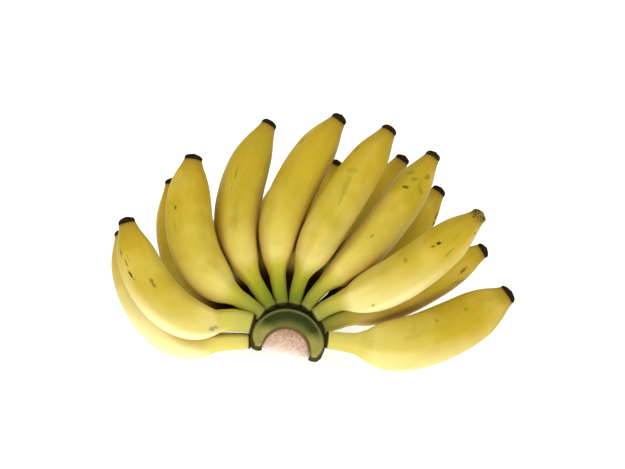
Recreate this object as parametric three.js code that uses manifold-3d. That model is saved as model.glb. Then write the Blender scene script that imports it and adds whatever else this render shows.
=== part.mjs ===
// A hand of plantain fingers as it is cut from the bunch, in millimetres with +Z up.
//
// Sixteen short, plump fingers grow in two rows from one arched crown. The crown is the thick
// cushion that joined the hand to its stalk, and its face is where it was cut. The hand lies on
// a level surface on the bellies of three fingers, with the upper row standing over the lower
// one, and every finger curves up towards its dark blossom end.
import * as THREE from "three";
import { mergeVertices } from "three/addons/utils/BufferGeometryUtils.js";
import Module from "manifold-3d";

const wasm = await Module();
wasm.setup();

// The crown: how its arch lies, and its size.
const CROWN_TILT = 25;
const CROWN_ROLL = 8;
const CROWN_TWIST = -6;
const SEAT_RADIUS = 25;
const GAP = 0.3;
const CROWN_RADIUS = SEAT_RADIUS - GAP;
const CROWN_FRONT = 5;
const CROWN_BACK = -12;
const CROWN_EDGE_ROUND = 4;
const ARCH_OVERHANG = 33;
const ARCH_END_REACH = 18.1;
const CUT_SLOPE = 32;
const PARING_SLOPE = 48;
const PARING_START = -4;

// The seats of the two rows: how far each row stands off the middle plane of the arch, and the
// angle of each finger around it, counted from the right-hand side.
const ROW_LIFT = { upper: 5, lower: -6 };
const FIRST_SEAT = { upper: 167, lower: 155 };
const SEAT_STEP = { upper: 20.6, lower: 21 };
const RIGHT_END_SEAT = -1;
const LEFT_END_SEAT = 186;

// The fingers bend towards the light, which fell from behind and a little from the right.
const LIGHT = new THREE.Vector3(0.38, 0.6, 0.7).normalize();
const NECK_SHARE = 0.2;
const AXIS_STEPS = 24;

// Girth along a finger: share of its length, and radius as a share of its fullest radius.
const GIRTH_PROFILE = [
  [0, 0.26],
  [0.08, 0.26],
  [0.15, 0.33],
  [0.21, 0.58],
  [0.29, 0.83],
  [0.4, 0.96],
  [0.54, 1],
  [0.67, 0.98],
  [0.76, 0.93],
  [0.84, 0.82],
  [0.91, 0.62],
  [0.96, 0.45],
  [1, 0.36],
];
const FINGER_SIDES = 12;
const FINGER_RINGS = 20;
const TIP_DOME = 0.008;
const MERGE_DISTANCE = 1e-4;
const ARC_SEGMENTS = 16;

// Each finger from left to right: the compass heading and the rise of its belly as it leaves the
// neck, how far it bends over its length, how that bend leans, its length and fullest radius.
const UPPER_FINGERS = [
  { heading: 200, rise: 5, bend: 86, lean: 19, length: 123, radius: 15.2 },
  { heading: 162, rise: 25, bend: 68, lean: 12, length: 125, radius: 16.1 },
  { heading: 124, rise: 27, bend: 55, lean: 18, length: 139, radius: 15.8 },
  { heading: 92, rise: 47, bend: 37, lean: 4, length: 135, radius: 15 },
  { heading: 41, rise: 57, bend: 26, lean: -32, length: 135, radius: 14.4 },
  { heading: 22, rise: 32, bend: 23, lean: -24, length: 135, radius: 14.4 },
  { heading: -17, rise: 29, bend: 34, lean: -12, length: 133, radius: 15.2 },
  { heading: -2, rise: -10, bend: 42, lean: 0, length: 131, radius: 18.2 },
];
const LOWER_FINGERS = [
  { heading: 171, rise: -16, bend: 79, lean: 4, length: 141, radius: 14.8 },
  { heading: 146, rise: -8, bend: 69, lean: -5, length: 133, radius: 14.4 },
  { heading: 121, rise: -31, bend: 63, lean: -1, length: 135, radius: 14.4 },
  { heading: 106, rise: -1, bend: 69, lean: 13, length: 124, radius: 14.4 },
  { heading: 91, rise: -37, bend: 80, lean: 0, length: 152, radius: 14.4 },
  { heading: 70, rise: -15, bend: 54, lean: 13, length: 152, radius: 14.4 },
  { heading: 46, rise: 0, bend: 29, lean: 15, length: 134, radius: 14.4 },
  { heading: 18, rise: 9, bend: 13, lean: 20, length: 124, radius: 14.4 },
];

const rad = THREE.MathUtils.degToRad;

const PEEL = { color: 0xd8b93f, roughness: 0.5, metalness: 0 };
const CROWN_SKIN = { color: 0x5d6428, roughness: 0.75, metalness: 0 };

// The crown's own frame: its arch lies in X and Y, and its front faces +Z.
const crownTurn = new THREE.Quaternion().setFromEuler(
  new THREE.Euler(rad(CROWN_TILT), rad(CROWN_ROLL), 0, "YXZ"),
);

function inCrownFrame(x, y, z) {
  return new THREE.Vector3(x, y, z).applyQuaternion(crownTurn);
}

// The centre line of a finger: a short neck that leaves the crown along its spoke and swings
// round to the finger's heading, then a body whose bend is strongest next to the neck and dies
// out at the blossom end.
class FingerAxis extends THREE.Curve {
  constructor(seat, spoke, finger) {
    super();
    const heading = rad(finger.heading);
    const rise = rad(finger.rise);
    this.bend = rad(finger.bend);
    this.out = new THREE.Vector3(
      Math.cos(heading) * Math.cos(rise),
      Math.sin(heading) * Math.cos(rise),
      Math.sin(rise),
    );
    const towardsLight = LIGHT.clone().addScaledVector(this.out, -LIGHT.dot(this.out)).normalize();
    this.inwards = towardsLight.applyAxisAngle(this.out, rad(finger.lean));
    this.side = new THREE.Vector3().crossVectors(this.out, this.inwards);
    this.bodyLength = (1 - NECK_SHARE) * finger.length;
    const halfNeck = (NECK_SHARE * finger.length) / 2;
    const neckBend = seat.clone().addScaledVector(spoke, halfNeck);
    this.neckEnd = neckBend.clone().addScaledVector(this.out, halfNeck);
    this.neck = new THREE.QuadraticBezierCurve3(seat, neckBend, this.neckEnd);
  }

  getPoint(share, target = new THREE.Vector3()) {
    if (share < NECK_SHARE) {
      return this.neck.getPoint(share / NECK_SHARE, target);
    }
    const step = (share - NECK_SHARE) / (1 - NECK_SHARE) / AXIS_STEPS;
    target.copy(this.neckEnd);
    for (let i = 0; i < AXIS_STEPS; i += 1) {
      const reached = (i + 0.5) * step;
      const turned = this.bend * reached * (2 - reached);
      target
        .addScaledVector(this.out, this.bodyLength * step * Math.cos(turned))
        .addScaledVector(this.inwards, this.bodyLength * step * Math.sin(turned));
    }
    return target;
  }
}

// A straight finger standing on +Y, from the flat of its neck to the dome of its blossom end.
function straightFinger(finger) {
  const outline = new THREE.SplineCurve(
    GIRTH_PROFILE.map(([share, girth]) => new THREE.Vector2(girth * finger.radius, share)),
  );
  const rings = outline.getPoints(FINGER_RINGS - 1);
  const foot = new THREE.Vector2(0, 0);
  const tip = new THREE.Vector2(0, 1 + TIP_DOME);
  return new THREE.LatheGeometry([foot, ...rings, tip], FINGER_SIDES);
}

// Bends the straight finger along its axis. A ring keeps its size and turns with the axis.
function fingerGeometry(seat, spoke, finger) {
  const axis = new FingerAxis(seat, spoke, finger);
  const geometry = straightFinger(finger);
  const place = geometry.attributes.position;
  for (let i = 0; i < place.count; i += 1) {
    const share = place.getY(i);
    const along = axis.getTangent(Math.min(share, 1));
    const across = axis.side.clone().addScaledVector(along, -axis.side.dot(along)).normalize();
    const back = new THREE.Vector3().crossVectors(along, across);
    const point = axis
      .getPoint(share)
      .addScaledVector(back, place.getX(i))
      .addScaledVector(across, place.getZ(i));
    place.setXYZ(i, point.x, point.y, point.z);
  }
  return closed(geometry);
}

// Only positions are kept, corners that share a place become one, and the triangles that this
// leaves without an area, such as those at a pole, are dropped.
function closed(geometry) {
  geometry.deleteAttribute("normal");
  geometry.deleteAttribute("uv");
  const merged = mergeVertices(geometry, MERGE_DISTANCE);
  const kept = [];
  for (let i = 0; i < merged.index.count; i += 3) {
    const [a, b, c] = [0, 1, 2].map((corner) => merged.index.getX(i + corner));
    if (a !== b && b !== c && c !== a) {
      kept.push(a, b, c);
    }
  }
  merged.setIndex(kept);
  return merged;
}

function solidOf(geometry) {
  const merged = closed(geometry);
  const vertProperties = new Float32Array(merged.attributes.position.array);
  const triVerts = new Uint32Array(merged.index.array);
  return new wasm.Manifold(new wasm.Mesh({ numProp: 3, vertProperties, triVerts }));
}

function geometryOf(solid) {
  const mesh = solid.getMesh();
  const geometry = new THREE.BufferGeometry();
  geometry.setAttribute("position", new THREE.BufferAttribute(mesh.vertProperties, 3));
  geometry.setIndex(new THREE.BufferAttribute(mesh.triVerts, 1));
  return geometry;
}

// Arcs that meet give their corner twice, a rounding error apart. Each corner is kept once.
function shapeOf(path) {
  const points = path.getPoints(ARC_SEGMENTS);
  return new THREE.Shape(
    points.filter((point, i) => point.distanceTo(points.at(i - 1)) > MERGE_DISTANCE),
  );
}

// The cut under the arch is half a circle between the horseshoe's two ends.
const archEnd = new THREE.Vector2(Math.cos(rad(ARCH_OVERHANG)), -Math.sin(rad(ARCH_OVERHANG)));
const CUT_RADIUS = ARCH_END_REACH * archEnd.x;
const CUT_DROP = -ARCH_END_REACH * archEnd.y;

// The cushion's rim: a horseshoe with rounded edges and ends, deep at the top of its arch.
function rimSolid() {
  const outline = new THREE.Path();
  const end = archEnd.clone().multiplyScalar((CROWN_RADIUS + ARCH_END_REACH) / 2);
  const endRadius = (CROWN_RADIUS - ARCH_END_REACH) / 2;
  const right = rad(-ARCH_OVERHANG);
  const left = rad(180 + ARCH_OVERHANG);
  outline.absarc(0, 0, CROWN_RADIUS, right, left, false);
  outline.absarc(-end.x, end.y, endRadius, left, left + Math.PI, false);
  outline.absarc(0, -CUT_DROP, CUT_RADIUS, Math.PI, 0, true);
  outline.absarc(end.x, end.y, endRadius, right + Math.PI, right + 2 * Math.PI, false);
  const geometry = new THREE.ExtrudeGeometry(shapeOf(outline), {
    depth: CROWN_FRONT - CROWN_BACK - 2 * CROWN_EDGE_ROUND,
    bevelThickness: CROWN_EDGE_ROUND,
    bevelSize: CROWN_EDGE_ROUND / 2,
    bevelOffset: -CROWN_EDGE_ROUND / 2,
    bevelSegments: 3,
  });
  geometry.translate(0, 0, CROWN_BACK + CROWN_EDGE_ROUND);
  return solidOf(geometry);
}

// The cut flesh inside the rim: half a disc under the arch, sliced to a face that slopes to the
// open side of the horseshoe.
function cutFleshSolid() {
  const reach = CUT_RADIUS + 2;
  const outline = new THREE.Path();
  outline.absarc(0, -CUT_DROP, reach, 0, Math.PI, false);
  const plug = new THREE.ExtrudeGeometry(shapeOf(outline), {
    depth: CROWN_FRONT - CROWN_BACK - CROWN_EDGE_ROUND,
    bevelEnabled: false,
  });
  plug.translate(0, 0, CROWN_BACK + CROWN_EDGE_ROUND / 2);
  const knife = knifeBlock(0.5);
  knife.rotateX(rad(CUT_SLOPE));
  knife.translate(0, reach - CUT_DROP, CROWN_FRONT - CROWN_EDGE_ROUND / 2);
  return solidOf(plug).subtract(solidOf(knife));
}

// The underside of the crown is pared away towards the horseshoe's two ends.
function paredAway() {
  const knife = knifeBlock(-0.5);
  knife.rotateX(rad(-PARING_SLOPE));
  knife.translate(0, PARING_START, CROWN_BACK);
  return solidOf(knife);
}

// A block larger than the crown, with a face in the plane z = 0: its lower face for a side of
// 0.5, its upper face for a side of -0.5.
function knifeBlock(side) {
  const size = 4 * CROWN_RADIUS;
  const block = new THREE.BoxGeometry(size, size, size);
  block.translate(0, 0, side * size);
  return block;
}

function crownMesh() {
  const geometry = geometryOf(rimSolid().add(cutFleshSolid()).subtract(paredAway()));
  const mesh = new THREE.Mesh(geometry, new THREE.MeshStandardMaterial(CROWN_SKIN));
  mesh.name = "crown";
  mesh.quaternion.copy(crownTurn);
  mesh.rotateZ(rad(CROWN_TWIST));
  return mesh;
}

function fingerMesh(name, seatAngle, lift, finger) {
  const angle = rad(seatAngle);
  const spoke = inCrownFrame(Math.cos(angle), Math.sin(angle), 0);
  const seat = inCrownFrame(0, 0, lift).addScaledVector(spoke, SEAT_RADIUS);
  const geometry = fingerGeometry(seat, spoke, finger);
  const mesh = new THREE.Mesh(geometry, new THREE.MeshStandardMaterial(PEEL));
  mesh.name = name;
  return mesh;
}

// The upper row's last finger sits at the right-hand end of the arch, and the lower row's first
// at the left-hand end. The others follow each other at an even step.
function upperRow() {
  const last = UPPER_FINGERS.length - 1;
  return UPPER_FINGERS.map((finger, i) => {
    const seat = i === last ? RIGHT_END_SEAT : FIRST_SEAT.upper - SEAT_STEP.upper * i;
    return fingerMesh(`upper_finger_${i + 1}`, seat, ROW_LIFT.upper, finger);
  });
}

function lowerRow() {
  return LOWER_FINGERS.map((finger, i) => {
    const seat = i === 0 ? LEFT_END_SEAT : FIRST_SEAT.lower - SEAT_STEP.lower * (i - 1);
    return fingerMesh(`lower_finger_${i + 1}`, seat, ROW_LIFT.lower, finger);
  });
}

const hand = new THREE.Group();
hand.add(crownMesh(), ...upperRow(), ...lowerRow());

// The origin is on the surface that the hand lies on, under the middle of its box.
const box = new THREE.Box3().setFromObject(hand, true);
const middle = box.getCenter(new THREE.Vector3());
hand.position.set(-middle.x, -middle.y, -box.min.z);

export default hand;
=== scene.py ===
# A hand of plantains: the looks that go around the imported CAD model, in metres.
#
# Every finger is drawn again as a fine skin along the CAD finger's own rings, with the soft
# corners, wrinkled neck and dry blossom end of the real fruit. The crown is the CAD crown,
# remeshed and sculpted. Colours and small relief are procedural materials.
import math

import bmesh
import bpy
import numpy as np
from mathutils import Matrix, Vector


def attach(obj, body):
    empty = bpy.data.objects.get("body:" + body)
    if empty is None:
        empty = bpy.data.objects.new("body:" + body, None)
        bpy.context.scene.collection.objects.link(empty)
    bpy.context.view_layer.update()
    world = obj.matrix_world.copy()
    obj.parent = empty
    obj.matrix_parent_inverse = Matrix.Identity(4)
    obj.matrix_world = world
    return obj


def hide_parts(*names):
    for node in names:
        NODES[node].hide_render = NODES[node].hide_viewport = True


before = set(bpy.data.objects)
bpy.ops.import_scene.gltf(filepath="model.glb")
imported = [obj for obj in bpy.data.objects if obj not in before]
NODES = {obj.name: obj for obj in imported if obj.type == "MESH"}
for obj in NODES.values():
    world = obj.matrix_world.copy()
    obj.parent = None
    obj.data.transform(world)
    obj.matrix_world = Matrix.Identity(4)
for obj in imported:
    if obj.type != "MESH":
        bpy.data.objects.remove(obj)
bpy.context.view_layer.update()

MM = 0.001
TAU = 2 * math.pi

# The crown lies tilted back, rolled to the right and twisted, as in the CAD model.
CROWN_TILT = math.radians(25)
CROWN_ROLL = math.radians(8)
CROWN_TWIST = math.radians(-6)
CROWN_RADIUS = 24.7 * MM
CROWN_FRONT = 5 * MM
CUT_RADIUS = 15.2 * MM
CUT_DROP = 9.9 * MM

# The arch reaches below its centre line, to two round and slightly swollen ends. OUT_OF_END is
# the way out of the right-hand one.
ARCH_OVERHANG = math.radians(33)
END_REACH = 21.4 * MM
END_RADIUS = 3.3 * MM
END_SWELL = 1.0 * MM
OUT_OF_END = (0.85, -0.53)

# The camera looks down on the hand from the crown's side.
CAMERA_RISE = math.radians(40)
CAMERA_DISTANCE = 1.0
CAMERA_LENS = 82.3
AIM_FROM_CROWN = Vector((0.01635, 0.08006, 0.023))

# The fine skin of a finger.
SIDES = 64
ROW_STEP = 1.2 * MM
ROOT_DEPTH = 4.2 * MM
CAP_ROWS = 14
CAP_HEIGHT = 3.0 * MM
CAP_BAND = 1.0 * MM
NUB_HEIGHT = 0.5 * MM
NUB_WIDTH = 1.1 * MM
PAST_TIP = 1.03


def srgb(red, green, blue):
    """A colour as it looks, 0 to 255, to the linear values that a shader takes."""
    def linear(value):
        value /= 255
        return value / 12.92 if value <= 0.04045 else ((value + 0.055) / 1.055) ** 2.4

    return (linear(red), linear(green), linear(blue), 1.0)


def smoothstep(low, high, value):
    """0 below low, 1 above high, with an even swing between. high may be under low."""
    t = np.clip((value - low) / (high - low), 0, 1)
    return t * t * (3 - 2 * t)


def cubic(knots, values, at):
    """A smooth curve through values at rising knots, read at the places in at."""
    slopes = np.gradient(values, knots, axis=0)
    i = np.clip(np.searchsorted(knots, at, side="right") - 1, 0, len(knots) - 2)
    width = knots[i + 1] - knots[i]
    t = (at - knots[i]) / width
    if values.ndim > 1:
        t, width = t[:, None], width[:, None]
    start = values[i] * (1 + 2 * t) * (1 - t) ** 2 + slopes[i] * width * t * (1 - t) ** 2
    end = values[i + 1] * t * t * (3 - 2 * t) + slopes[i + 1] * width * t * t * (t - 1)
    return start + end


def unit(vectors):
    return vectors / np.linalg.norm(vectors, axis=-1, keepdims=True)


def waves(around, along, rng, count, turns, length):
    """Random soft bumps on a skin, between about -1 and 1. They join up all the way round."""
    total = np.zeros(np.broadcast(around, along).shape)
    for _ in range(count):
        turn = rng.integers(0, turns + 1)
        pitch = rng.uniform(-1, 1) * TAU / length
        total += np.cos(turn * around + pitch * along + rng.uniform(0, TAU))
    return total / math.sqrt(count)


# --- the crown's own frame -------------------------------------------------------------------


def turn_about(axis, angle):
    return np.array(Matrix.Rotation(angle, 3, axis))


CROWN_TURN = (
    turn_about("Y", CROWN_ROLL) @ turn_about("X", CROWN_TILT) @ turn_about("Z", CROWN_TWIST)
)


def mesh_points(mesh):
    points = np.empty(len(mesh.vertices) * 3)
    mesh.vertices.foreach_get("co", points)
    return points.reshape(-1, 3)


def crown_centre():
    """The middle of the crown's arch, from the CAD crown's extent along its own axes."""
    own = mesh_points(NODES["crown"].data) @ CROWN_TURN
    low, high = own.min(axis=0), own.max(axis=0)
    middle = ((low[0] + high[0]) / 2, high[1] - CROWN_RADIUS, high[2] - CROWN_FRONT)
    return CROWN_TURN @ np.array(middle)


CROWN_CENTRE = crown_centre()


def to_crown(points):
    return (points - CROWN_CENTRE) @ CROWN_TURN


def from_crown(points):
    return points @ CROWN_TURN.T + CROWN_CENTRE


# --- making objects --------------------------------------------------------------------------


def new_object(name, points, faces):
    mesh = bpy.data.meshes.new(name)
    mesh.from_pydata(points.tolist(), [], faces)
    mesh.polygons.foreach_set("use_smooth", [True] * len(mesh.polygons))
    piece = bpy.data.objects.new(name, mesh)
    bpy.context.collection.objects.link(piece)
    return piece


def store(piece, name, values):
    """Keeps one number, or one vector, for each point of the piece's mesh."""
    kind, field = ("FLOAT", "value") if values.ndim == 1 else ("FLOAT_VECTOR", "vector")
    layer = piece.data.attributes.new(name, kind, "POINT")
    layer.data.foreach_set(field, values.astype(np.float32).ravel())


# --- fingers ---------------------------------------------------------------------------------


def finger_rings(node):
    """The centres and radii of a CAD finger's rings, from its foot on the crown to its tip."""
    work = bmesh.new()
    work.from_mesh(node.data)
    bmesh.ops.remove_doubles(work, verts=work.verts, dist=1e-6)
    poles = sorted(work.verts, key=lambda v: len(v.link_edges))[-2:]
    foot = min(poles, key=lambda v: np.linalg.norm(np.array(v.co) - CROWN_CENTRE))
    seen, layer, layers = {foot}, [foot], []
    while layer:
        near = {edge.other_vert(v) for v in layer for edge in v.link_edges}
        layer = [v for v in near if v not in seen]
        seen.update(layer)
        if len(layer) > 1:
            layers.append(np.array([v.co for v in layer]))
    work.free()
    centres = np.array([ring.mean(axis=0) for ring in layers])
    radii = np.array([
        np.linalg.norm(ring - centre, axis=1).mean() for ring, centre in zip(layers, centres)
    ])
    return centres, radii


class Axis:
    """A finger's centre line, with its girth and the two directions across it."""

    def __init__(self, node, root):
        centres, radii = finger_rings(node)
        steps = np.linalg.norm(np.diff(centres, axis=0), axis=1)
        knots = np.concatenate([[0], np.cumsum(steps)])
        rows = int((knots[-1] + root) / ROW_STEP) + 1
        self.length = knots[-1]
        self.root = root
        self.place = np.linspace(-root, self.length, rows)
        self.fullest = radii.max()
        self.foot = centres[0]
        self.centre = cubic(knots, centres, self.place)
        self.radius = cubic(knots, radii, np.maximum(self.place, 0))
        self.ahead = unit(np.gradient(self.centre, axis=0))
        third, late = rows // 3, rows - rows // 10
        side = unit(np.cross(self.ahead[third], self.ahead[late]))
        lean = side - self.ahead * (self.ahead @ side)[:, None]
        self.across = unit(lean)
        self.belly = np.cross(self.across, self.ahead)


def corners(around, rng):
    """The soft five-cornered section of a finger, as a factor on its radius."""
    faces = TAU * (np.arange(5) + rng.uniform(-0.14, 0.14, 5)) / 5 + rng.uniform(0, TAU)
    sharp = rng.uniform(9, 13)
    facing = np.maximum(np.cos(around[:, None] - faces), 0) ** sharp
    outline = facing.sum(axis=1) ** (-1 / sharp)
    return outline / outline.mean()


def finger_skin(axis, stout, rng):
    """The radius of the skin at each row and each side, before the blossom end. A stout neck
    is that much thicker than the CAD neck."""
    around = np.arange(SIDES) * TAU / SIDES
    share = np.clip(axis.place / axis.length, 0, 1)[:, None]
    place = axis.place[:, None]
    to_tip = axis.length - place
    # The section is most angular just above the neck and again before the tip.
    angular = 0.3 + 0.45 * smoothstep(0.08, 0.22, share) - 0.45 * smoothstep(0.25, 0.5, share)
    angular += 0.35 * smoothstep(0.72, 0.93, share) - 0.45 * smoothstep(0.93, 1.0, share)
    factor = 1 + angular * (corners(around, rng) - 1)[None, :]
    # The neck is lightly ridged. It narrows at its foot, and its root in the crown closes.
    neck = smoothstep(0.2, 0.1, share)
    factor *= 1 + neck * (stout + 0.022 * waves(around[None, :], place, rng, 5, 8, 60 * MM))
    factor *= 1 - 0.1 * np.exp(-((np.maximum(place, 0) / (4 * MM)) ** 2))
    factor *= np.sqrt(1 - 0.94 * np.clip(-place / axis.root, 0, 1) ** 2)
    # The body has broad and small bumps, in mm, and the blossom end a waist and a crumbling lip.
    body = smoothstep(0.12, 0.3, share)
    bumps = 0.26 * waves(around[None, :], place, rng, 7, 3, 60 * MM)
    bumps += 0.07 * waves(around[None, :], place, rng, 9, 7, 16 * MM)
    lip = 0.2 * smoothstep(CAP_BAND, CAP_BAND * 0.5, to_tip)
    waist = -0.15 * np.exp(-(((to_tip - CAP_BAND * 1.8) / (1.3 * MM)) ** 2))
    crumble = 0.13 * smoothstep(CAP_BAND, 0, to_tip) * waves(around[None, :], place, rng, 9, 14, 3 * MM)
    return axis.radius[:, None] * factor + MM * (body * bumps + lip + waist + crumble)


def make_finger(name, axis, stout, rng):
    """Builds the fine mesh of a finger, from its root inside the crown to its blossom end."""
    around = np.arange(SIDES) * TAU / SIDES
    skin = finger_skin(axis, stout, rng)
    rise = np.sin(np.linspace(0, math.pi / 2, CAP_ROWS + 1)[1:-1])
    inward = np.sqrt(1 - rise**1.9)
    cap_skin = skin[-1] * inward[:, None]
    nub = np.exp(-((cap_skin / NUB_WIDTH) ** 2)) * NUB_HEIGHT
    pits = waves(around[None, :], rise[:, None] * CAP_HEIGHT, rng, 10, 9, 2.5 * MM)
    cap_rise = rise[:, None] * CAP_HEIGHT + nub + 0.16 * MM * pits * inward[:, None]
    skin = np.vstack([skin, cap_skin])
    lift = np.vstack([np.zeros((len(axis.place), SIDES)), cap_rise])
    rows = len(skin)

    def stretched(values):
        """One row of values for each row of skin: the cap's rows repeat the last."""
        return np.vstack([values, np.repeat(values[-1:], rows - len(values), axis=0)])

    centre, ahead = stretched(axis.centre), stretched(axis.ahead)
    spoke = (
        stretched(axis.belly)[:, None] * np.cos(around)[None, :, None]
        + stretched(axis.across)[:, None] * np.sin(around)[None, :, None]
    )
    points = centre[:, None] + spoke * skin[..., None] + ahead[:, None] * lift[..., None]
    root = axis.centre[0] - axis.ahead[0] * 0.5 * MM
    top = axis.centre[-1] + axis.ahead[-1] * (CAP_HEIGHT + NUB_HEIGHT)
    points = np.vstack([points.reshape(-1, 3), root, top])
    faces = []
    for row in range(rows - 1):
        here, there = row * SIDES, (row + 1) * SIDES
        for k in range(SIDES):
            after = (k + 1) % SIDES
            faces.append((here + k, here + after, there + after, there + k))
    foot_hub, top_hub = rows * SIDES, rows * SIDES + 1
    last = (rows - 1) * SIDES
    for k in range(SIDES):
        after = (k + 1) % SIDES
        faces.append((foot_hub, after, k))
        faces.append((top_hub, last + k, last + after))
    piece = new_object(f"{name}_skin", points, faces)

    place = np.concatenate([axis.place, np.full(rows - len(axis.place), axis.length)])
    along = (place[:, None] + lift) / axis.length
    store(piece, "along", np.concatenate([along.ravel(), [along.min(), PAST_TIP]]))
    flat_radius = np.where(place[:, None] < axis.length, axis.fullest, skin)
    straight = np.stack([
        np.cos(around) * flat_radius,
        np.sin(around) * flat_radius,
        place[:, None] + lift,
    ], axis=-1).reshape(-1, 3)
    ends = np.array([[0, 0, 0], [0, 0, axis.length]])
    store(piece, "straight", np.vstack([straight, ends]) / MM)
    return piece


def gap_to(points, axes):
    """How far each point is from the nearest skin of the fingers on these axes."""
    nearest = np.full(len(points), 1.0)
    for axis in axes:
        centre, radius = axis.centre[::3], axis.radius[::3]
        away = np.linalg.norm(points[:, None] - centre[None], axis=2) - radius
        nearest = np.minimum(nearest, away.min(axis=1))
    return nearest


# --- the crown -------------------------------------------------------------------------------


def remeshed_crown():
    """A fine even mesh of the CAD crown, with its edges softened."""
    piece = bpy.data.objects.new("crown_cushion", NODES["crown"].data.copy())
    bpy.context.collection.objects.link(piece)
    piece.data.materials.clear()
    weld = piece.modifiers.new("weld", "WELD")
    weld.merge_threshold = 1e-6
    remesh = piece.modifiers.new("remesh", "REMESH")
    remesh.mode = "VOXEL"
    remesh.voxel_size = 0.5 * MM
    soften = piece.modifiers.new("soften", "SMOOTH")
    soften.factor = 0.5
    soften.iterations = 6
    graph = bpy.context.evaluated_depsgraph_get()
    fine = bpy.data.meshes.new_from_object(piece.evaluated_get(graph))
    piece.modifiers.clear()
    piece.data = fine
    fine.polygons.foreach_set("use_smooth", [True] * len(fine.polygons))
    return piece


def sculpt_crown(piece, feet):
    """Swells the cushion, raises a collar round each neck and roughens the cut. Lengths in
    here are in mm, in the crown's own frame."""
    rng = np.random.default_rng(77)
    own = to_crown(mesh_points(piece.data))
    x, y, z = own.T / MM
    reach = np.hypot(x, y)
    angle = np.arctan2(y, x)
    # How far a point is from the edge of the cut and from the outer edge, which is round at
    # each end.
    inside = np.hypot(x, y + CUT_DROP / MM) - CUT_RADIUS / MM
    outside = CROWN_RADIUS / MM - reach
    swollen_x = x
    for side in (-1, 1):
        end_x = side * END_REACH / MM * math.cos(ARCH_OVERHANG)
        end_y = -END_REACH / MM * math.sin(ARCH_OVERHANG)
        to_outline = END_RADIUS / MM - np.hypot(x - end_x, y - end_y)
        beyond = -y * math.cos(ARCH_OVERHANG) - side * x * math.sin(ARCH_OVERHANG)
        near_end = smoothstep(-3.0, 1.5, beyond) * (side * x > 0)
        outside = outside + near_end * (np.minimum(to_outline, outside) - outside)
        away = np.stack([x - end_x, y - end_y])
        away /= np.maximum(np.linalg.norm(away, axis=0), 0.5)
        facing_out = side * OUT_OF_END[0] * away[0] + OUT_OF_END[1] * away[1]
        outwards = smoothstep(-0.1, 0.7, facing_out)
        swollen_x = swollen_x + END_SWELL / MM * near_end * outwards * away[0]
    band = np.clip(inside / np.maximum(inside + outside, 0.1), 0, 1)
    # The cut fills the hollow under the arch, except on the crown's back.
    under = (y < -CUT_DROP / MM) & (np.abs(x) < CUT_RADIUS / MM)
    cut = np.where(under, 1.0, smoothstep(0.7, -0.3, inside)) * smoothstep(-11.8, -11, z)

    collar_reach = 5.2
    collar = np.zeros(len(x))
    for foot in feet:
        foot_x, foot_y, foot_z = to_crown(foot[None])[0] / MM
        from_foot = np.linalg.norm(np.stack([x - foot_x, y - foot_y, z - foot_z]), axis=0)
        collar = np.maximum(collar, np.exp(-((from_foot / collar_reach) ** 2)))

    # The outer edge spreads sideways. The front face gets a rim, a swollen band and a lip.
    outer = smoothstep(4.5, 1.0, outside)
    spread = 1 + outer * (0.7 * collar + 0.9) / np.maximum(reach, 1)
    front = smoothstep(-1, 4, z) * (1 - cut)
    top = np.clip(np.sin(angle), 0, 1)
    wider_on_top = 5.0 * top
    shoulder = -2.6 * smoothstep(1.6 + wider_on_top, 0.4 + 2.0 * top, outside)
    rim = 1.0 * np.exp(-(((outside - 2.5 - wider_on_top) / 1.1) ** 2))
    swell = 1.3 * np.sin(np.pi * np.clip(1.2 * band, 0, 1)) * smoothstep(2, 8, inside + outside)
    lip = 0.8 * np.exp(-(((inside - 0.9) / 0.8) ** 2))
    lumps = 0.3 * waves(angle, z, rng, 9, 6, 30) + 0.1 * waves(angle, z, rng, 9, 22, 9)
    grain = waves(x * 0.9, y * 1.4, rng, 12, 3, 5) * waves(y, x * 1.7, rng, 12, 2, 4)
    fibre = cut * (0.22 * grain - 0.35)
    z = z + front * (shoulder + rim + swell + lip + 0.5 * lumps) + fibre
    blunt_y = y + 0.25 * np.maximum(-6 - y, 0)
    x, y = swollen_x * spread, blunt_y * spread + (1 - cut) * 0.12 * lumps
    points = from_crown(np.stack([x, y, z], axis=1) * MM)
    piece.data.vertices.foreach_set("co", points.ravel())
    piece.data.update()
    store(piece, "inside", np.maximum(inside, 0))
    store(piece, "outside", outside - wider_on_top)
    store(piece, "cut", cut)
    store(piece, "own", np.stack([x, y, z], axis=1))
    store(piece, "end", smoothstep(0.42, -0.15, np.sin(angle)))
    # The wall behind the outer edge; the crown's material darkens it with painted shade.
    store(piece, "wall", smoothstep(1.5, -1.0, z) * smoothstep(2.5, 1.0, outside))


# --- materials -------------------------------------------------------------------------------


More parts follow.
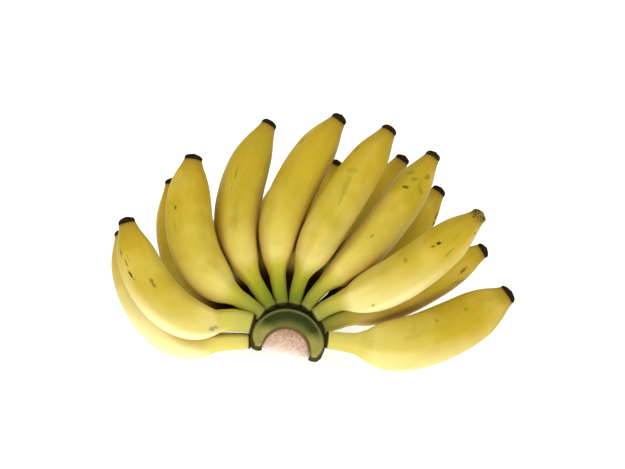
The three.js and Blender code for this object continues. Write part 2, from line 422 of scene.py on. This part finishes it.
class Graph:
    """A new material, with short calls for the nodes that it needs."""

    def __init__(self, name):
        self.material = bpy.data.materials.new(name)
        self.material.use_nodes = True
        self.nodes = self.material.node_tree.nodes
        self.links = self.material.node_tree.links
        self.shader = self.nodes["Principled BSDF"]

    def add(self, kind, inputs=(), **settings):
        """Adds a node. Each input is (name or number, value or socket)."""
        node = self.nodes.new(f"ShaderNode{kind}")
        for key, value in settings.items():
            setattr(node, key, value)
        for key, value in inputs:
            self.put(node.inputs[key], value)
        return node

    def put(self, socket, value):
        if isinstance(value, bpy.types.NodeSocket):
            self.links.new(value, socket)
        else:
            socket.default_value = value

    def attribute(self, name, output):
        return self.add("Attribute", attribute_name=name).outputs[output]

    def math(self, operation, first, second=0.0, third=0.0):
        inputs = [(0, first), (1, second), (2, third)]
        return self.add("Math", inputs, operation=operation).outputs[0]

    def scaled(self, vector, scale):
        inputs = [("Vector", vector), ("Scale", scale)]
        return self.add("Mapping", inputs).outputs[0]

    def noise(self, vector, scale, detail=3.0, rough=0.5, distortion=0.0):
        inputs = [
            ("Vector", vector), ("Scale", scale), ("Detail", detail),
            ("Roughness", rough), ("Distortion", distortion),
        ]
        return self.add("TexNoise", inputs).outputs[0]

    def step(self, value, low, high, start=0.0, end=1.0):
        """Maps low..high to start..end with a smooth swing, and no further."""
        inputs = [
            ("Value", value), ("From Min", low), ("From Max", high),
            ("To Min", start), ("To Max", end),
        ]
        return self.add("MapRange", inputs, interpolation_type="SMOOTHSTEP").outputs[0]

    def ramp(self, value, stops):
        """A colour for each value, from (place, colour) stops."""
        node = self.add("ValToRGB", [(0, value)])
        points = node.color_ramp.elements
        points[0].position, points[0].color = stops[0]
        points[1].position, points[1].color = stops[-1]
        for place, colour in stops[1:-1]:
            points.new(place).color = colour
        return node.outputs[0]

    def mix(self, amount, first, second):
        node = self.add("Mix", data_type="RGBA")
        self.put(node.inputs[0], amount)
        self.put(node.inputs[6], first)
        self.put(node.inputs[7], second)
        return node.outputs[2]

    def finish(self, colour, roughness, bumps):
        """Joins colour, roughness and a chain of (height, distance, strength) bumps."""
        normal = None
        for height, distance, strength in bumps:
            inputs = [("Height", height), ("Distance", distance), ("Strength", strength)]
            if normal:
                inputs.append(("Normal", normal))
            normal = self.add("Bump", inputs).outputs[0]
        self.put(self.shader.inputs["Base Color"], colour)
        self.put(self.shader.inputs["Roughness"], roughness)
        self.put(self.shader.inputs["Normal"], normal)
        return self.material


# The peel along the finger. The pale band around 0.24 to 0.33, fading by about 0.6, is painted light on
# the lower bellies near the shoulders; the greens of the neck, the yellows and the browns before the
# blossom end are the peel's own colour.
PEEL_STOPS = [
    (0.0, srgb(104, 118, 40)),
    (0.05, srgb(130, 138, 34)),
    (0.12, srgb(152, 152, 38)),
    (0.18, srgb(182, 170, 52)),
    (0.24, srgb(212, 195, 104)),
    (0.33, srgb(206, 186, 86)),
    (0.46, srgb(189, 166, 56)),
    (0.62, srgb(182, 157, 40)),
    (0.88, srgb(185, 154, 35)),
    (0.96, srgb(168, 138, 34)),
    (1.0, srgb(140, 112, 34)),
]
CAP_STOPS = [(0.3, srgb(24, 17, 7)), (0.55, srgb(46, 33, 14)), (0.78, srgb(88, 68, 36))]
CAP_START = 0.988
CAP_EDGE = srgb(128, 104, 42)

# Patches and streaks in the peel.
PALER = srgb(206, 188, 88)
RIPER = srgb(176, 142, 32)
GREENER = srgb(150, 146, 40)
LIGHT_STREAK = srgb(214, 194, 90)
DARK_STREAK = srgb(150, 124, 32)
SPECK = srgb(122, 92, 38)
SCUFF = srgb(140, 108, 44)

# Painted light on the underside, painted shade on the sides towards a neighbour, and a painted shadow
# line where two fingers touch.
PAINTED_UNDERLIGHT = srgb(252, 244, 186)
SHADED = srgb(166, 108, 20)
CONTACT_SHADOW = srgb(84, 48, 8)

# Painted light on a neck in full light, painted shade on a neck hidden between others, and the dark
# foot that runs into the crown.
FULL_LIGHT = srgb(216, 200, 104)
SHADED_NECK = srgb(46, 22, 8)
FOOT = srgb(48, 40, 13)
FOOT_SHOWN = 0.004
FOOT_HIDDEN = -0.022

# Blemishes.
BROWN = srgb(92, 62, 26)
GREY_BROWN = srgb(132, 112, 88)
DARK_BROWN = srgb(46, 30, 12)
OLIVE = srgb(132, 128, 26)


class Mark:
    """A blemish: where it is along (0 to 1) and around (degrees from the belly), its length
    and width in mm, how far it leans from the finger's line, and how it looks."""

    def __init__(self, along, around, size, lean=0, colour=BROWN, amount=0.8, ragged=2.2):
        self.along, self.around, self.size, self.lean = along, around, size, lean
        self.colour, self.amount, self.ragged = colour, amount, ragged


# How green a finger still is.
USUAL_GREEN = 0.15
GREEN = {
    "upper_finger_3": 0.3, "upper_finger_5": 0.4, "upper_finger_6": 0.35, "upper_finger_7": 0.3,
}
# How much painted shade darkens each neck, and how much painted light brightens it.
NECK_LIGHT_AND_SHADE = {f"lower_finger_{i}": (1.0, 0.0) for i in range(2, 8)} | {
    "lower_finger_1": (0.0, 0.9), "lower_finger_8": (0.0, 0.3),
    "upper_finger_1": (0.0, 0.5), "upper_finger_2": (0.0, 0.15), "upper_finger_6": (0.0, 0.15),
    "upper_finger_7": (0.0, 0.3), "upper_finger_8": (0.0, 0.75),
}
# The blemishes of each finger.
MARKS = {
    "upper_finger_1": (
        Mark(0.84, -146, (6, 1.6), 10, DARK_BROWN, 0.85), Mark(0.78, -136, (7, 1.2), 8),
        Mark(0.72, -136, (8, 2.0), 12, DARK_BROWN, 0.85), Mark(0.80, -128, (9, 1.0), 4, OLIVE, 0.6),
        Mark(0.63, -97, (8, 3.0), 0, BROWN, 0.6), Mark(0.24, -122, (8, 6.5), 20, GREY_BROWN, 0.7),
    ),
    "upper_finger_2": (
        Mark(0.71, -128, (3, 2.2), 0, BROWN, 0.85), Mark(0.62, -133, (9, 1.2), 5, OLIVE, 0.5),
    ),
    "upper_finger_3": (
        Mark(0.67, -105, (14, 1.4), 4, OLIVE, 0.85), Mark(0.60, -105, (7, 1.0), 0, OLIVE, 0.7),
        Mark(0.46, -87, (26, 7.0), 0, OLIVE, 0.3),
    ),
    "upper_finger_4": (Mark(0.80, -154, (10, 3.0), -10, BROWN, 0.6),),
    "upper_finger_5": (
        Mark(0.63, -172, (20, 5.0), 8, OLIVE, 0.45), Mark(0.56, -164, (12, 2.4), 10, OLIVE, 0.35),
        Mark(0.71, 178, (5, 11.0), 20, OLIVE, 0.4), Mark(0.82, 138, (7, 3.0), 10, OLIVE, 0.7),
    ),
    "upper_finger_6": (
        Mark(0.85, 87, (4, 9.0), 15, OLIVE, 0.7), Mark(0.88, 148, (5, 7.0), 25, BROWN, 0.5),
        Mark(0.77, 105, (3, 6.0), 20, DARK_BROWN, 0.75), Mark(0.80, 149, (4, 8.0), -20, OLIVE, 0.7),
        Mark(0.48, 115, (4, 3.0), 0, OLIVE, 0.7), Mark(0.83, 112, (3, 7.0), 30, BROWN, 0.45),
        Mark(0.82, 138, (10, 3.0), 15, OLIVE, 0.5),
    ),
    "upper_finger_7": (
        Mark(0.97, 178, (4, 3.0), 0, BROWN, 0.8), Mark(0.93, 179, (3, 3.4), 0, DARK_BROWN, 0.9),
        Mark(0.98, 110, (3, 4.0), 0, DARK_BROWN, 0.8),
        Mark(0.77, 114, (4, 3.0), -30, DARK_BROWN, 0.95), Mark(0.74, 111, (4, 2.0), -30, BROWN, 0.8),
        Mark(0.59, 99, (3, 5.0), 10, OLIVE, 0.7), Mark(0.78, 151, (9, 2.2), 5, OLIVE, 0.7),
        Mark(0.86, 131, (10, 1.8), 0, OLIVE, 0.5), Mark(0.34, 159, (3, 2.4), 0, OLIVE, 0.7),
    ),
    "upper_finger_8": (
        Mark(0.76, 58, (4, 3.0), 0, OLIVE, 0.75), Mark(0.59, 53, (3, 3.0), 0, OLIVE, 0.75),
        Mark(0.45, 70, (18, 6.0), 10, OLIVE, 0.16),
    ),
    "lower_finger_7": (
        Mark(0.88, 90, (9, 2.6), 0, DARK_BROWN, 0.85), Mark(0.84, 98, (6, 3.0), 0, DARK_BROWN, 0.9),
    ),
    "lower_finger_8": (
        Mark(0.84, 83, (9, 3.4), 5, BROWN, 0.7), Mark(0.80, 112, (9, 2.4), 0, BROWN, 0.7),
        Mark(0.77, 100, (10, 2.6), 0, OLIVE, 0.6),
    ),
}
# How far a blossom end has dried, where it isn't dry all over (1).
DRIED = {"upper_finger_6": 0.85, "upper_finger_7": 0.3}
# How much thicker a neck is than in the CAD model.
USUAL_STOUT = 0.3
STOUT = {
    "upper_finger_1": 0.85, "lower_finger_1": 0.5, "upper_finger_7": 0.4, "lower_finger_8": 0.5,
}
# How far a root runs into the crown, where it isn't ROOT_DEPTH. A short root has a dark foot.
ROOT = {
    "upper_finger_1": 1.6 * MM, "upper_finger_8": 1.6 * MM, "lower_finger_1": 1.5 * MM,
    "lower_finger_8": 2.5 * MM,
}
# How strong the painted light on the underside of a finger is, and how high up its
# side that begins (1 is the top).
USUAL_UNDERLIGHT = (0.3, 0.6)
UNDERLIGHT = {
    "upper_finger_1": (0.75, 0.8), "upper_finger_7": (0.65, 0.8), "upper_finger_8": (0.55, 0.6),
    "lower_finger_1": (0.85, 1.25),
}


def peel_material(name, axis, seed, marks):
    """Yellow waxy peel that turns olive at the neck and dry brown at the blossom end."""
    green = GREEN.get(name, USUAL_GREEN)
    brown, yellow = NECK_LIGHT_AND_SHADE.get(name, (0.0, 0.0))
    dried = DRIED.get(name, 1.0)
    pale, pale_from = UNDERLIGHT.get(name, USUAL_UNDERLIGHT)
    foot = FOOT_SHOWN if name in ROOT else FOOT_HIDDEN
    # The lower row, apart from its first finger, gets more painted shade, as it lies behind the upper
    # row.
    covered = name.startswith("lower") and name != "lower_finger_1"
    shade = 0.6 if covered else 0.4
    g = Graph(f"{name}_peel")
    straight = g.attribute("straight", "Vector")
    shifted = g.add("VectorMath", [(0, straight), (1, (0, 0, 400.0 * seed))]).outputs[0]
    along = g.attribute("along", "Fac")
    broad = g.noise(shifted, 0.035, 2)
    patchy = g.noise(shifted, 0.09, 3)
    streaks = g.noise(g.scaled(shifted, (1, 1, 0.13)), 0.42, 4, 0.6)
    fine = g.noise(g.scaled(shifted, (1, 1, 0.45)), 1.6, 3, 0.6)

    # The colours along the finger, with painted light near the shoulders, patches and streaks.
    uneven = g.math("MULTIPLY_ADD", patchy, 0.05, -0.025)
    colour = g.ramp(g.math("ADD", along, uneven), PEEL_STOPS)
    on_body = g.math("MULTIPLY", g.step(along, 0.16, 0.3), g.step(along, 0.97, 0.9))
    paler = g.math("MULTIPLY", g.step(broad, 0.45, 0.75, 0, 0.5), on_body)
    colour = g.mix(paler, colour, PALER)
    riper = g.math("MULTIPLY", g.step(patchy, 0.5, 0.8, 0, 0.35), on_body)
    colour = g.mix(riper, colour, RIPER)
    greener = g.math("MULTIPLY", g.step(broad, 0.52, 0.3, 0, green), on_body)
    colour = g.mix(greener, colour, GREENER)
    colour = g.mix(g.step(streaks, 0.45, 0.8, 0, 0.12), colour, LIGHT_STREAK)
    colour = g.mix(g.step(streaks, 0.5, 0.2, 0, 0.14), colour, DARK_STREAK)

    # Painted light on the underside, painted shade towards a neighbour and a painted shadow line where
    # two fingers touch, then painted light on some necks and painted shade on others, and the foot.
    gap = g.attribute("gap", "Fac")
    facing = g.add("SeparateXYZ", [(0, g.add("NewGeometry").outputs["Normal"])]).outputs[2]
    # Painted light: the lower half pales where its skin faces down, away from neighbours.
    lower_half = g.math("MULTIPLY", g.step(along, 0.12, 0.24), g.step(along, 0.8, 0.45, 0.25, 1))
    open_side = g.math("MULTIPLY", lower_half, g.step(gap, 2.5, 10))
    under = g.math("MULTIPLY", g.step(facing, pale_from, pale_from - 1.2, 0, pale), open_side)
    colour = g.mix(under, colour, PAINTED_UNDERLIGHT)
    past_neck = g.step(along, 0.06, 0.22, 0.15, 1)
    # Painted shade on the sides towards a neighbour.
    shaded = g.math("MULTIPLY", g.step(gap, 12, 1.5, 0, shade), past_neck)
    colour = g.mix(shaded, colour, SHADED)
    # A painted shadow line where two fingers nearly touch.
    shadow_line = g.math("MULTIPLY", g.step(gap, 3.2, 0.7, 0, 0.9), past_neck)
    colour = g.mix(shadow_line, colour, CONTACT_SHADOW)
    # Painted light on necks in full light, and painted shade on necks hidden between others.
    colour = g.mix(g.step(along, 0.26, 0.14, 0, yellow), colour, FULL_LIGHT)
    colour = g.mix(g.step(along, 0.34, 0.16, 0, brown), colour, SHADED_NECK)
    colour = g.mix(g.step(along, foot + 0.01, foot), colour, FOOT)

    # Specks and scuffs.
    cells = g.add("TexVoronoi", [("Vector", shifted), ("Scale", 0.28), ("Randomness", 1.0)])
    speck = g.step(cells.outputs["Distance"], 0.13, 0.05)
    sparse = g.step(g.noise(shifted, 0.11, 1), 0.56, 0.66)
    speck = g.math("MULTIPLY", g.math("MULTIPLY", speck, sparse), on_body)
    colour = g.mix(g.math("MULTIPLY", speck, 0.55), colour, SPECK)

    scuffs = g.noise(g.scaled(shifted, (1, 1, 0.22)), 0.5, 5, 0.7, 0.6)
    rub = g.math("MULTIPLY", g.step(scuffs, 0.66, 0.74), g.step(broad, 0.5, 0.62))
    rub = g.math("MULTIPLY", rub, g.math("MULTIPLY", on_body, 0.35))
    colour = g.mix(rub, colour, SCUFF)

    # The blemishes: each is an oval with a ragged edge, turned to its place on the skin.
    ragged = g.noise(shifted, 0.7, 4, 0.65)
    radius = axis.fullest / MM
    blemish = 0.0
    for mark in marks:
        angle = math.radians(mark.around)
        spot = (
            radius * math.cos(angle), radius * math.sin(angle), mark.along * axis.length / MM
        )
        turn = (math.radians(mark.lean), 0, angle)
        size = (6.0, mark.size[1] / 2, mark.size[0] / 2)
        inputs = [("Vector", straight), ("Location", spot), ("Rotation", turn), ("Scale", size)]
        local = g.add("Mapping", inputs, vector_type="TEXTURE").outputs[0]
        away = g.add("VectorMath", [(0, local)], operation="LENGTH").outputs["Value"]
        away = g.math("MULTIPLY_ADD", ragged, mark.ragged, away)
        edge = 0.5 * mark.ragged
        shape = g.step(away, edge + 1.0, edge + 0.45, 0, mark.amount)
        colour = g.mix(shape, colour, mark.colour)
        blemish = g.math("MAXIMUM", blemish, shape)

    # The blossom end. Where it isn't dry all over, it is dotted.
    dry = g.math("MULTIPLY_ADD", g.math("SUBTRACT", ragged, 0.5), 0.012, along)
    colour = g.mix(g.step(dry, CAP_START - 0.022, CAP_START, 0, 0.55), colour, CAP_EDGE)
    cap = g.step(dry, CAP_START - 0.004, CAP_START + 0.003)
    if dried < 1:
        edge = 0.62 - 0.28 * dried
        dots = g.step(g.noise(shifted, 0.5, 2), edge, edge + 0.05, 0.3 * dried, 1)
        cap = g.math("MULTIPLY", cap, dots)
    cap_colour = g.ramp(g.noise(shifted, 0.9, 5, 0.7), CAP_STOPS)
    colour = g.mix(cap, colour, cap_colour)

    rough = g.math("MULTIPLY_ADD", patchy, 0.14, 0.42)
    rough = g.math("MAXIMUM", rough, g.math("MULTIPLY", blemish, 0.75))
    rough = g.math("MAXIMUM", rough, g.math("MULTIPLY", cap, 0.88))
    rough = g.math("MAXIMUM", rough, g.step(along, 0.34, 0.16, 0, 0.9 * brown))
    pits = g.math("MULTIPLY", g.noise(shifted, 1.3, 5, 0.7), cap)
    bumps = [
        (streaks, 0.25 * MM, 0.35), (fine, 0.08 * MM, 0.35),
        (blemish, 0.12 * MM, 0.5), (pits, 1.2 * MM, 0.8),
    ]
    g.shader.inputs["IOR"].default_value = 1.45
    g.shader.inputs["Specular IOR Level"].default_value = 0.06
    g.shader.inputs["Subsurface Weight"].default_value = 0.06
    g.shader.inputs["Subsurface Radius"].default_value = (0.5, 0.35, 0.08)
    g.shader.inputs["Subsurface Scale"].default_value = 0.004
    return g.finish(colour, rough, bumps)


# The cushion from the edge of the cut outwards. Its lighter band near 0.1 is painted light on the lip
# along the cut; the brown at the cut's edge and the dark olive further out are its own colour.
CUSHION_STOPS = [
    (0.0, srgb(104, 80, 46)),
    (0.04, srgb(96, 80, 44)),
    (0.1, srgb(106, 108, 54)),
    (0.24, srgb(84, 90, 36)),
    (0.42, srgb(50, 58, 15)),
    (0.75, srgb(44, 52, 12)),
    (0.95, srgb(70, 74, 24)),
]
# The rim's painted highlight, the dark outer edge (partly scar, partly painted shade), the pale ends,
# the wall's painted shade, and the grain.
RIM_HIGHLIGHT = srgb(118, 120, 72)
OUTER_SCAR_AND_SHADE = srgb(50, 45, 14)
PALE_END = srgb(162, 154, 78)
WALL_SHADE = srgb(36, 30, 8)
LIGHT_GRAIN = srgb(120, 112, 58)
DARK_GRAIN = srgb(34, 30, 12)

FLESH_STOPS = [
    (0.3, srgb(172, 134, 108)),
    (0.5, srgb(204, 172, 146)),
    (0.72, srgb(224, 200, 178)),
]
VESSEL = srgb(128, 84, 60)
# Flesh whitened below by painted light, and browner above.
FLESH_LIT_BELOW = srgb(240, 230, 218)
HIGH_FLESH = srgb(142, 100, 76)
CRUMB = srgb(70, 44, 24)
CUT_EDGE = srgb(120, 86, 58)


def crown_material():
    """Olive cushion with a dark outer edge, partly scar and partly painted shade, painted light on its
    rim and lip, and a pale fibrous cut inside its rim.
    """
    g = Graph("crown_looks")
    own = g.attribute("own", "Vector")
    inside = g.attribute("inside", "Fac")
    outside = g.attribute("outside", "Fac")
    cut = g.attribute("cut", "Fac")
    end = g.attribute("end", "Fac")

    # The cushion, from the edge of the cut outwards.
    blotch = g.noise(own, 0.16, 4, 0.6)
    grain = g.noise(own, 1.1, 5, 0.7)
    wobble = g.math("MULTIPLY_ADD", g.noise(own, 0.35, 3), 1.4, -0.7)
    depth = g.math("MULTIPLY", g.math("ADD", inside, wobble), 1 / 15)
    colour = g.ramp(depth, CUSHION_STOPS)
    edge = g.math("ADD", outside, g.math("MULTIPLY", wobble, 0.6))
    # Painted highlight on the outer rim.
    colour = g.mix(g.step(edge, 4.0, 2.2, 0, 0.85), colour, RIM_HIGHLIGHT)
    pale = g.math("MULTIPLY", end, g.step(inside, 0.6, 1.6, 0, 0.85))
    colour = g.mix(pale, colour, PALE_END)
    # The dark outer edge, partly scar and partly painted shade in the groove under the necks.
    colour = g.mix(g.step(edge, 1.9, 1.1, 0, 0.95), colour, OUTER_SCAR_AND_SHADE)
    # Painted shade on the wall behind the outer edge.
    colour = g.mix(g.attribute("wall", "Fac"), colour, WALL_SHADE)
    colour = g.mix(g.step(grain, 0.52, 0.78, 0, 0.2), colour, LIGHT_GRAIN)
    colour = g.mix(g.step(grain, 0.48, 0.3, 0, 0.4), colour, DARK_GRAIN)

    # The cut: fibrous flesh, whitened below by painted light and browner above, with crumbs near its
    # rim.
    across, height, _ = g.add("SeparateXYZ", [(0, own)]).outputs
    vessels = g.add("TexVoronoi", [("Vector", own), ("Scale", 0.8), ("Randomness", 1.0)])
    flesh = g.ramp(g.noise(own, 0.55, 5, 0.7), FLESH_STOPS)
    flesh = g.mix(g.step(vessels.outputs["Distance"], 0.28, 0.08, 0, 0.6), flesh, VESSEL)
    flesh = g.mix(g.step(height, -2, -10, 0, 0.7), flesh, FLESH_LIT_BELOW)
    flesh = g.mix(g.step(height, -1.5, 4.5, 0, 0.6), flesh, HIGH_FLESH)
    crumbs = g.step(g.noise(own, 1.5, 4, 0.7), 0.55, 0.62)
    near_rim = g.math("MAXIMUM", g.step(height, 1.5, 5.0), g.step(across, 8.0, 12.5))
    flesh = g.mix(g.math("MULTIPLY", crumbs, near_rim), flesh, CRUMB)
    rim = g.step(cut, 0.98, 0.7)
    flesh = g.mix(g.math("MULTIPLY", rim, 0.8), flesh, CUT_EDGE)
    colour = g.mix(g.step(cut, 0.45, 0.65), colour, flesh)
    rough = g.math("MULTIPLY_ADD", grain, 0.25, 0.55)
    bumps = [(blotch, 0.5 * MM, 0.4), (grain, 0.35 * MM, 0.6)]
    g.shader.inputs["Specular IOR Level"].default_value = 0.08
    return g.finish(colour, rough, bumps)


def floor_material():
    """The white top of a light table."""
    g = Graph("floor_looks")
    place = g.add("TexCoord").outputs["Object"]
    tone = g.ramp(g.noise(place, 3.0, 2), [
        (0.3, (0.6, 0.6, 0.6, 1)), (0.7, (0.62, 0.62, 0.62, 1)),
    ])
    g.put(g.shader.inputs["Base Color"], tone)
    g.shader.inputs["Emission Color"].default_value = (1, 1, 1, 1)
    g.shader.inputs["Emission Strength"].default_value = 0.7
    g.shader.inputs["Roughness"].default_value = 0.9
    g.shader.inputs["Specular IOR Level"].default_value = 0.1
    return g.material


# --- the stage -------------------------------------------------------------------------------


def aim(thing, target):
    """Turns a lamp or camera at its place to look at the target."""
    thing.rotation_euler = (target - thing.location).to_track_quat("-Z", "Y").to_euler()


def add_softbox(name, place, width, height, power, target):
    """A rectangular lamp, width by height in metres, with its power in watts."""
    lamp = bpy.data.lights.new(name, "AREA")
    lamp.shape = "RECTANGLE"
    lamp.size, lamp.size_y = width, height
    lamp.energy = power
    holder = bpy.data.objects.new(name, lamp)
    bpy.context.collection.objects.link(holder)
    holder.location = place
    aim(holder, target)


def build_stage():
    scene = bpy.context.scene
    scene.view_settings.view_transform = "Standard"
    target = Vector(CROWN_CENTRE) + AIM_FROM_CROWN
    half = 3.0
    square = np.array([(-half, -half, 0), (half, -half, 0), (half, half, 0), (-half, half, 0)])
    floor = new_object("floor", square, [(0, 1, 2, 3)])
    floor.data.materials.append(floor_material())

    world = bpy.data.worlds.new("studio")
    world.use_nodes = True
    backdrop = world.node_tree.nodes["Background"]
    backdrop.inputs["Color"].default_value = (1, 1, 1, 1)
    backdrop.inputs["Strength"].default_value = 0.8
    scene.world = world
    front, above = Vector((-0.2, -1.3, 0.4)), Vector((0.15, 0.1, 1.5))
    add_softbox("front_box", front, width=1.4, height=0.7, power=9, target=target)
    add_softbox("top_box", above, width=1.4, height=1.4, power=4, target=target)

    camera = bpy.data.objects.new("camera", bpy.data.cameras.new("camera"))
    bpy.context.collection.objects.link(camera)
    camera.data.lens = CAMERA_LENS
    back = Vector((0, -math.cos(CAMERA_RISE), math.sin(CAMERA_RISE)))
    camera.location = target + back * CAMERA_DISTANCE
    aim(camera, target)
    scene.camera = camera


# --- putting it together ---------------------------------------------------------------------


def build_hand():
    names = [name for name in sorted(NODES) if name != "crown"]
    axes = {name: Axis(NODES[name], ROOT.get(name, ROOT_DEPTH)) for name in names}
    for seed, (name, axis) in enumerate(axes.items()):
        stout = STOUT.get(name, USUAL_STOUT)
        piece = make_finger(name, axis, stout, np.random.default_rng(seed + 11))
        others = [other for key, other in axes.items() if key != name]
        store(piece, "gap", gap_to(mesh_points(piece.data), others) / MM)
        piece.data.materials.append(peel_material(name, axis, seed, MARKS.get(name, ())))
        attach(piece, "root")
        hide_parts(name)
    feet = [axis.foot for axis in axes.values()]
    crown = remeshed_crown()
    sculpt_crown(crown, feet)
    crown.data.materials.append(crown_material())
    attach(crown, "root")
    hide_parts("crown")


build_stage()
build_hand()
